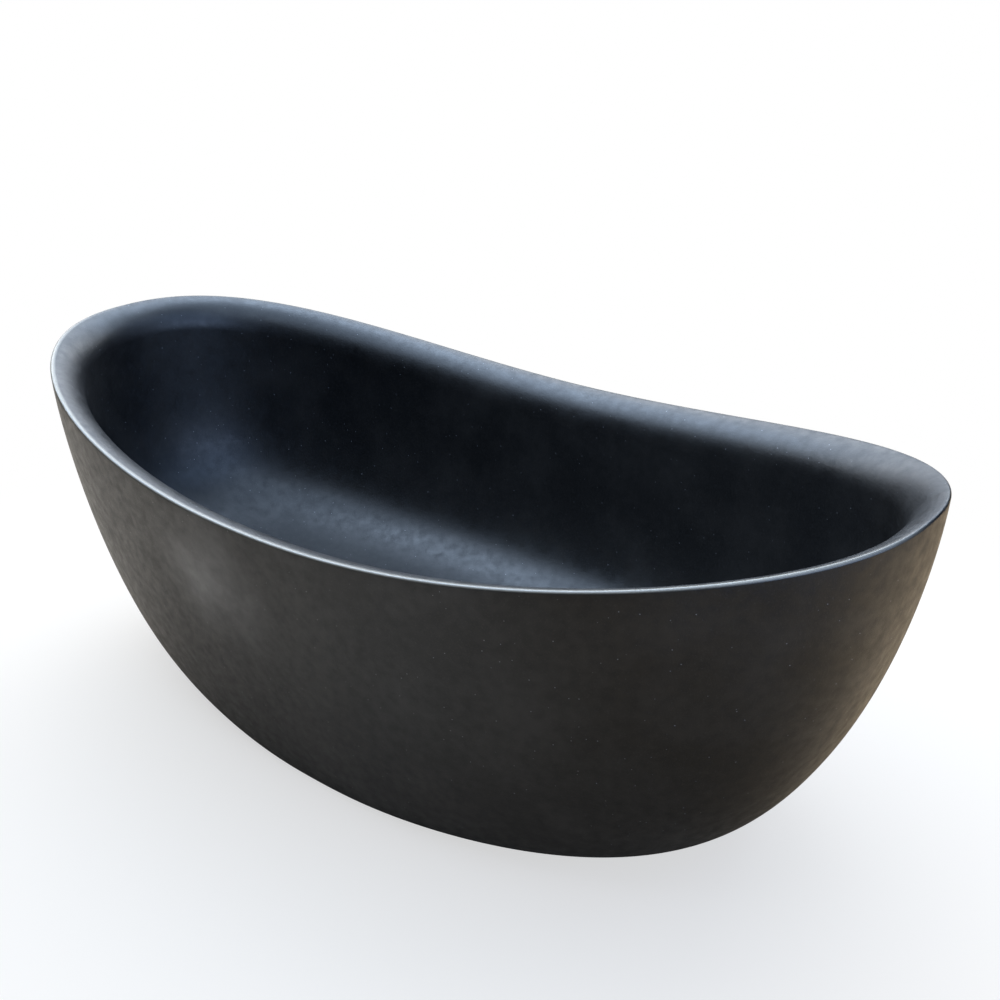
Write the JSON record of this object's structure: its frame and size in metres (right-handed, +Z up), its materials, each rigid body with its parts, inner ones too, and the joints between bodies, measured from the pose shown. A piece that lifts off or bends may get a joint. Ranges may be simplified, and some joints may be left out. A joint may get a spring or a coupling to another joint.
{
  "type": "freestanding bathtub",
  "caption": "Freestanding double-slipper bath in dark cast stone: raised rounded ends, inward-rolled rim, bowl-shaped walls, central push-button waste.",
  "frame": {"origin": "on the room's floor under the middle of the bath, where the waste's axis meets the floor", "axes": "+X along the bath, +Y across it, +Z up; the bath is alike at both ends and on both sides"},
  "size_m": [1.7, 0.9, 0.64],
  "materials": {
    "cast_stone": "satin",
    "chrome_plate": "polished",
    "raw_brass": "satin",
    "spring_steel": "satin",
    "seal_rubber": "matte",
    "pad_rubber": "matte",
    "washer_plastic": "matte"
  },
  "bodies": {
    "bath": {"tub_shell": "cast_stone", "waste_flange": "chrome_plate", "flange_seal": "seal_rubber", "lower_seal": "seal_rubber", "slip_washer": "washer_plastic", "backnut": "raw_brass", "click_cartridge": "raw_brass", "cartridge_spring": "spring_steel", "tail_seal": "seal_rubber", "tailpiece": "chrome_plate", "tail_nut": "chrome_plate", "base_pad_1": "pad_rubber", "base_pad_2": "pad_rubber", "base_pad_3": "pad_rubber", "base_pad_4": "pad_rubber", "base_pad_5": "pad_rubber", "base_pad_6": "pad_rubber"},
    "plug": {"plug_cap": "chrome_plate", "plug_seal": "seal_rubber", "cartridge_plunger": "raw_brass"}
  },
  "joints": [
    {"name": "plug_slide", "type": "slide", "parent": "bath", "child": "plug", "axis": [0, 0, 1], "range_m": [-0.008, 0], "stiffness_N_per_m": 500, "springref_m": 0.012, "deforming": ["cartridge_spring"]}
  ]
}
